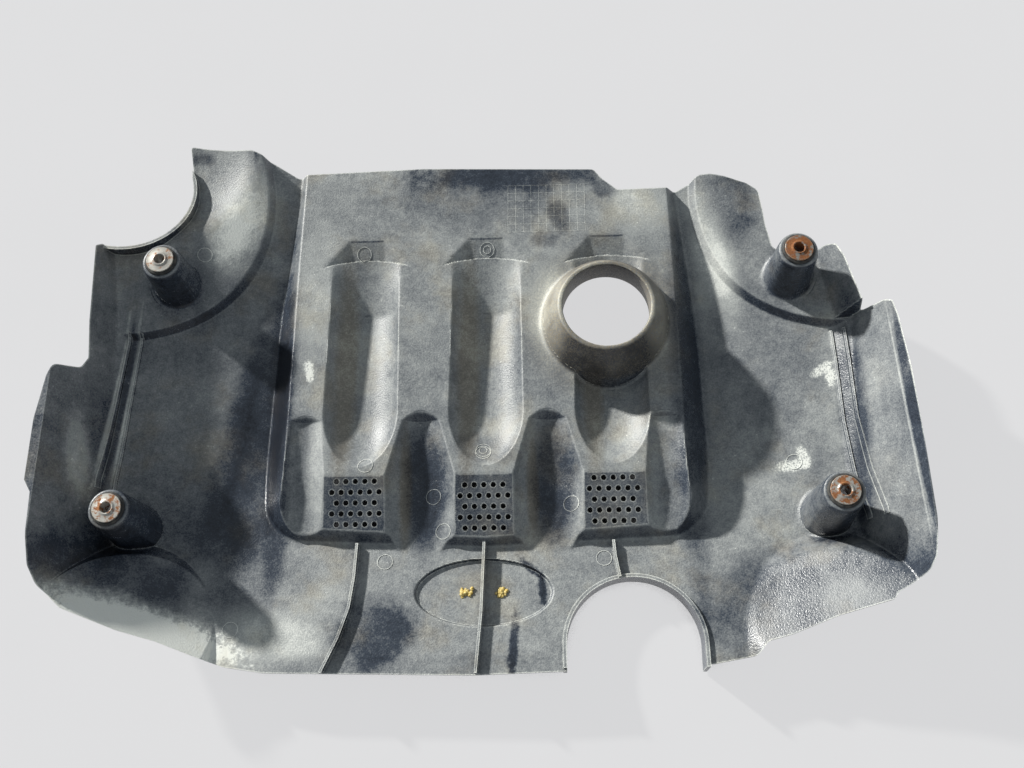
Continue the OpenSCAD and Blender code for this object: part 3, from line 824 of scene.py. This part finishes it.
# flaking smears round three of the ejector rings
for at, size, turn in [((261, -67), (13, 5), 8), ((270, -60), (4, 9), 20), ((291, 14), (9, 4), 30),
                       ((297, 6), (4, 8), 0), ((-143, 20), (4, 7), 10), ((-141, 12), (3, 5), 0)]:
    smear = paint.spot(at, size, 0.4, turn, flecks, 2.2)
    flaking = paint.math("MULTIPLY", smear, paint.band(grain, 0.3, 0.6, 0.4))
    tone = paint.math("MULTIPLY_ADD", flaking, 0.5, tone)
# wear and painted highlights on the edges, less on the rim's flat top and on the right rim,
# which has a bright inner line
bevelled = paint.put("Bevel", {"Radius": 0.0015}, samples=4)[0]
bent = paint.put("VectorMath", {0: bevelled, 1: geometry["Normal"]}, operation="DOT_PRODUCT")["Value"]
edge_wear_and_highlight = paint.math("MULTIPLY", paint.band(bent, 0.997, 0.95), paint.band(flecks, 0.2, 0.5, 0.5))
rim = paint.math("MULTIPLY", paint.band(height, 92.2, 93.2), paint.band(facing, 0.6, 0.9))
rim = paint.math("MAXIMUM", rim, paint.spot((342.2, -48), (2.4, 92), 0.2, 2.1))
edge_wear_and_highlight = paint.math("MULTIPLY", edge_wear_and_highlight, paint.band(rim, 0, 1, 1, 0.25))
tone = paint.math("MULTIPLY_ADD", paint.spot((338.8, -48), (0.5, 90), 0.6, 2.1), 0.22, tone)
tone = paint.math("MULTIPLY_ADD", rim, -0.2, paint.math("MULTIPLY_ADD", edge_wear_and_highlight, 0.42, tone))
# painted shade in the corners and creases, found by occlusion
corner = paint.put("AmbientOcclusion", {"Distance": 0.014}, samples=5)["AO"]
tone = paint.math("MULTIPLY_ADD", paint.band(corner, 0.8, 0.25), -0.2, tone)
# a run of old oil beside the emblem's seat
for at, size, turn in [((45, -150), (12, 3), -40), ((53, -168), (3, 12), 5), ((30, -215), (3.5, 26), -4)]:
    tone = paint.math("MULTIPLY_ADD", paint.spot(at, size, 0.5, turn, flecks), -0.4, tone)
color = paint.ramp(tone, [(0.0, (0.010, 0.013, 0.020)), (0.25, (0.045, 0.057, 0.078)),
                          (0.5, (0.225, 0.24, 0.25)), (0.75, (0.44, 0.46, 0.45)), (1.0, (0.86, 0.88, 0.83))])
# brown soil in clouds and round the collar, and hardly on the right wall, and a brown painted
# reflection down the left sides of the troughs and scallops
soil_and_reflection = paint.math("MULTIPLY", paint.band(paint.noise(48, 5, 0.6), 0.48, 0.7), 0.4)
soil_and_reflection = paint.math("MULTIPLY", soil_and_reflection, paint.band(paint.spot((335, -40), (40, 170), 0.2), 0, 1, 1, 0.2))
for i in (-1, 0, 1):
    # painted reflection: a brown band down each trough's left wall
    trough_reflection = paint.spot((panel_x - 14 + i * pitch, 20), (9, 95), 0.5, 0, flecks, 0.8)
    soil_and_reflection = paint.math("MAXIMUM", soil_and_reflection, paint.math("MULTIPLY", trough_reflection, 0.55))
for i in (-0.5, 0.5):
    # painted reflection: a brown band down each scallop's left side
    scallop_reflection = paint.spot((panel_x - 13 + i * pitch, -85), (5, 45), 0.5, 0, flecks, 0.8)
    soil_and_reflection = paint.math("MAXIMUM", soil_and_reflection, paint.math("MULTIPLY", scallop_reflection, 0.6))
near_collar = paint.math("MULTIPLY", paint.spot(collar_place, (66, 66), 0.25), paint.band(height, 30, 42))
collar_dirt = paint.math("MULTIPLY", near_collar, paint.band(grain, 0.35, 0.6, 0.25, 0.8))
soil_and_reflection = paint.math("MAXIMUM", soil_and_reflection, collar_dirt)
soil_and_reflection_color = paint.ramp(tone, [(0.1, (0.03, 0.024, 0.018)), (0.55, (0.24, 0.20, 0.135)),
                               (0.9, (0.6, 0.56, 0.42))])
color = paint.mix(soil_and_reflection, color, soil_and_reflection_color)
bump = paint.put("Bump", {"Strength": 0.5, "Distance": 0.0006, "Height": grain})[0]
paint.finish(cover, Base_Color=color, Roughness=paint.band(tone, 0.1, 0.8, 0.24, 0.54), Normal=bump)
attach(cover, "root")
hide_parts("cover")


# Moulded marks: the rings that the ejector pins left, a ruled grid on the panel, and twin beads
# along the side ledges. They are part of the moulding, and stand up from it by 0.1 to 1.6 mm.
def bead(path, width, rise):
    """A low ridge that follows a path over the inner face."""
    half = width / 2
    closed = path[0] == path[-1]
    path = path[:-1] if closed else path
    n = len(path)
    x = np.array([p[0] for p in path])
    y = np.array([p[1] for p in path])
    if closed:
        dx, dy = np.roll(x, -1) - np.roll(x, 1), np.roll(y, -1) - np.roll(y, 1)
    else:
        dx, dy = np.gradient(x), np.gradient(y)
    long = np.hypot(dx, dy)
    nx, ny = -dy / long, dx / long
    points = []
    for offset, lift in ((-half, -0.4), (-half * 0.5, rise), (half * 0.5, rise), (half, -0.4)):
        px, py = x + nx * offset, y + ny * offset
        points.append(np.stack([px, py, form(px, py, 0.0) + lift], 1))
    points = np.concatenate(points) / 1000
    polygons = []
    for q in range(n if closed else n - 1):
        r = (q + 1) % n
        polygons += [(s * n + q, s * n + r, (s + 1) % 4 * n + r, (s + 1) % 4 * n + q) for s in range(4)]
    if not closed:
        polygons += [(0, n, 2 * n, 3 * n), (4 * n - 1, 3 * n - 1, 2 * n - 1, n - 1)]
    return points.tolist(), polygons


def straight_line(start, end, steps=12):
    return [(start[0] + (end[0] - start[0]) * q / steps, start[1] + (end[1] - start[1]) * q / steps)
            for q in range(steps + 1)]


def ring(place, r):
    path = circle(place, r, 40)
    return path[:-1] + path[:1]


mark_lines = []
for place in [(-241.4, 128.7), (5.5, -55.1), (-27.5, -119.1), (-74.8, -143.2), (-195.3, -198.1),
              (103, -142.3), (-91.3, -66.4), (-100.2, 128), (262, -64), (-36, -90), (77.5, -98)]:
    mark_lines.append((ring(place, 6.2), 1.1, 0.35))
for r in (3.2, 6.2):
    mark_lines.append((ring((8.5, 129.5), r), 1.1, 0.4))
    mark_lines.append((ring((5.5, -53), r), 1.0, 0.3))
grid_left, grid_right, grid_back, grid_front = 27.2, 95.2, 190, 144
for q in range(11):
    x = grid_left + 6.8 * q
    mark_lines.append((straight_line((x, grid_back), (x, grid_front)), 0.55, 0.12))
for q in range(7):
    y = grid_back - 7.6 * q
    mark_lines.append((straight_line((grid_left, y), (grid_right, y)), 0.55, 0.12))
# the twin beads follow the inner edges of the two side ledges
bead_rows = np.linspace(1, 0, 40)
for offset in (-4.6, 4.6):
    left_y = -84 + 140 * bead_rows
    right_y = -118 + 165 * bead_rows
    left_x = np.interp(left_y, (-76, -49, 5, 58), (-306, -303.5, -300, -296)) + offset
    right_x = np.interp(right_y, (-115, -77, -33, 19, 49), (318, 312, 308, 306.5, 305)) + offset
    mark_lines.append((list(zip(left_x, left_y)), 3.6, 1.6))
    mark_lines.append((list(zip(right_x, right_y)), 3.6, 1.6))
points, polygons = [], []
for path, width, rise in mark_lines:
    more_points, more_polygons = bead(path, width, rise)
    polygons += [tuple(v + len(points) for v in polygon) for polygon in more_polygons]
    points += more_points
mesh = bpy.data.meshes.new("moulded_marks")
mesh.from_pydata(points, [], polygons)
marks = as_object("moulded_marks", mesh)
marks.data.materials.append(paint.material)
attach(marks, "root")


# Sleeves: turned steel tubes with a flange on top and a lip rolled up round the bore, pressed into
# the grommets. The zinc has gone and each has rusted in its own way.
def lathed(name, loop, place, base_z, steps=72):
    """A ring turned about Z from a closed loop of (radius, height) points."""
    n = len(loop)
    points = []
    for q in range(steps):
        a = 2 * math.pi * q / steps
        points += [((place[0] + r * math.cos(a)) / 1000, (place[1] + r * math.sin(a)) / 1000,
                    (base_z + z) / 1000) for r, z in loop]
    polygons = [(q * n + s, (q + 1) % steps * n + s, (q + 1) % steps * n + (s + 1) % n, q * n + (s + 1) % n)
                for q in range(steps) for s in range(n)]
    mesh = bpy.data.meshes.new(name)
    mesh.from_pydata(points, [], polygons)
    made = as_object(name, mesh)
    made.data.shade_smooth()
    made.data.set_sharp_from_angle(angle=math.radians(40))
    return made


grommet_top = boss_z + 2.4
sleeve_loop = [(4.3, -14.6), (4.6, -15), (5.4, -15), (5.7, -14.7), (5.7, -0.02), (11.1, -0.02), (11.5, 0.35),
               (11.5, 1.2), (11.15, 1.6), (7.0, 1.62), (6.2, 1.85), (5.75, 2.35), (5.3, 2.6), (4.8, 2.6),
               (4.45, 2.4), (4.3, 2.0)]
# for each sleeve, how far the rust has spread and how pale the rest is
sleeve_finishes = {"rear_left": (0.30, 0.50), "rear_right": (0.72, 0.34), "front_left": (0.45, 0.58),
                   "front_right": (0.55, 0.50)}
for name, (rust, pale) in sleeve_finishes.items():
    sleeve = lathed("sleeve_" + name + "_turned", sleeve_loop, boss_places[name], grommet_top)
    paint = Paint("rusted_zinc_" + name)
    patches = paint.noise(5.5, 5, 0.65)
    pits = paint.noise(0.8, 3, 0.6)
    metal = paint.mix(paint.noise(2.2, 3), (pale * 0.8, pale * 0.78, pale * 0.7),
                      (pale, pale * 0.97, pale * 0.9))
    scale = paint.ramp(paint.math("MULTIPLY_ADD", pits, 0.6, paint.math("MULTIPLY", patches, 0.4)),
                       [(0.3, (0.10, 0.035, 0.015)), (0.5, (0.27, 0.10, 0.035)), (0.7, (0.46, 0.24, 0.10))])
    rusty = paint.band(patches, 0.62 - 0.35 * rust, 0.74 - 0.35 * rust)
    bent = paint.put("VectorMath", {0: paint.put("Bevel", {"Radius": 0.0006}, samples=4)[0],
                                    1: paint.put("NewGeometry")["Normal"]}, operation="DOT_PRODUCT")["Value"]
    color = paint.mix(rusty, metal, scale)
    color = paint.mix(paint.band(bent, 0.99, 0.9, 0, 0.6), color, (0.62, 0.56, 0.46))
    # painted shade in the tight corners round the flange and the rolled lip
    corner = paint.put("AmbientOcclusion", {"Distance": 0.004}, samples=5)["AO"]
    color = paint.mix(paint.band(corner, 0.85, 0.3, 0, 0.85), color, (0.03, 0.02, 0.014))
    bump = paint.put("Bump", {"Strength": 0.6, "Distance": 0.0003, "Height": pits})[0]
    paint.finish(sleeve, Base_Color=color, Metallic=0.35, Normal=bump,
                 Roughness=paint.band(rusty, 0, 1, 0.38, 0.8))
    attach(sleeve, "root")
    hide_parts("sleeve_" + name)


# Grommets: moulded rubber rings, snapped through the boss tops with a lip on each side of the
# shelf. They hold the sleeves and keep the engine's shake out of the cover.
grommet_loop = [(5.88, -5.4), (10.0, -5.4), (10.6, -5.1), (11.6, -3.5), (11.7, -3.05), (9.0, -3.0),
                (9.0, 0.02), (12.6, 0.02), (13.2, 0.3), (13.5, 0.9), (13.35, 1.6), (12.7, 2.2),
                (11.8, 2.4), (6.3, 2.4), (5.88, 2.0)]
paint = Paint("dusty_black_rubber")
dust = paint.noise(6, 4, 0.6)
color = paint.mix(paint.band(dust, 0.4, 0.7, 0.05, 0.75), (0.018, 0.018, 0.019), (0.12, 0.115, 0.10))
bump = paint.put("Bump", {"Strength": 0.3, "Distance": 0.0002, "Height": paint.noise(0.9, 2)})[0]
for name, place in boss_places.items():
    grommet = lathed("grommet_" + name + "_ring", grommet_loop, place, boss_z)
    paint.finish(grommet, Base_Color=color, Roughness=paint.band(dust, 0.3, 0.7, 0.5, 0.85), Normal=bump)
    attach(grommet, "root")
    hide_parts("grommet_" + name)


# Stakes: the ends of the emblem's two pins, held with a dab of yellow glue that has gone crumbly.
# Each is a heap of crumbs on the seat's floor, with the pin's end in it.
paint = Paint("yellow_crumbling_glue")
crumb_tone = paint.noise(1.6, 4, 0.7)
color = paint.ramp(crumb_tone, [(0.25, (0.16, 0.10, 0.02)), (0.45, (0.60, 0.42, 0.10)),
                                (0.6, (0.85, 0.72, 0.32)), (0.8, (0.95, 0.90, 0.62))])
bump = paint.put("Bump", {"Strength": 0.8, "Distance": 0.0004, "Height": paint.noise(0.5, 3)})[0]
pin_r, pin_length = 0.00185, 0.004
chance = random.Random(11)
for side, name in ((-1, "stake_left"), (1, "stake_right")):
    centre_x, centre_y = seat_place[0] + side * 14, seat_place[1]
    heap = bmesh.new()
    lumps = [(0, 0, 2.6, 0.2)] + [(chance.uniform(-4.6, 4.6), chance.uniform(-3.6, 3.6),
                                   chance.uniform(0.9, 1.7), chance.uniform(-0.2, 1.3)) for _ in range(26)]
    for dx, dy, r, lift in lumps:
        x, y = centre_x + dx, centre_y + dy
        z = front_z - front_slope * (y - front_y) - 3.04 + lift
        sphere = bmesh.ops.create_icosphere(heap, subdivisions=2, radius=r / 1000)
        for vert in sphere["verts"]:
            vert.co *= 1 + chance.uniform(-0.22, 0.22)
            vert.co.z *= 0.8
            vert.co += Vector((x, y, z)) / 1000
    pin = bmesh.ops.create_cone(heap, cap_ends=True, segments=32, radius1=pin_r, radius2=pin_r,
                                depth=pin_length)
    pin_z = front_z - front_slope * (centre_y - front_y) - 4.6
    for vert in pin["verts"]:
        vert.co += Vector((centre_x, centre_y, pin_z)) / 1000
    mesh = bpy.data.meshes.new(name)
    heap.to_mesh(mesh)
    heap.free()
    stake = as_object(name + "_crumbs", mesh)
    fuse = stake.modifiers.new("fuse", "REMESH")
    fuse.mode = "VOXEL"
    fuse.voxel_size = 0.00028
    paint.finish(stake, Base_Color=color, Roughness=0.75, Normal=bump)
    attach(stake, "root")
    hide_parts(name)
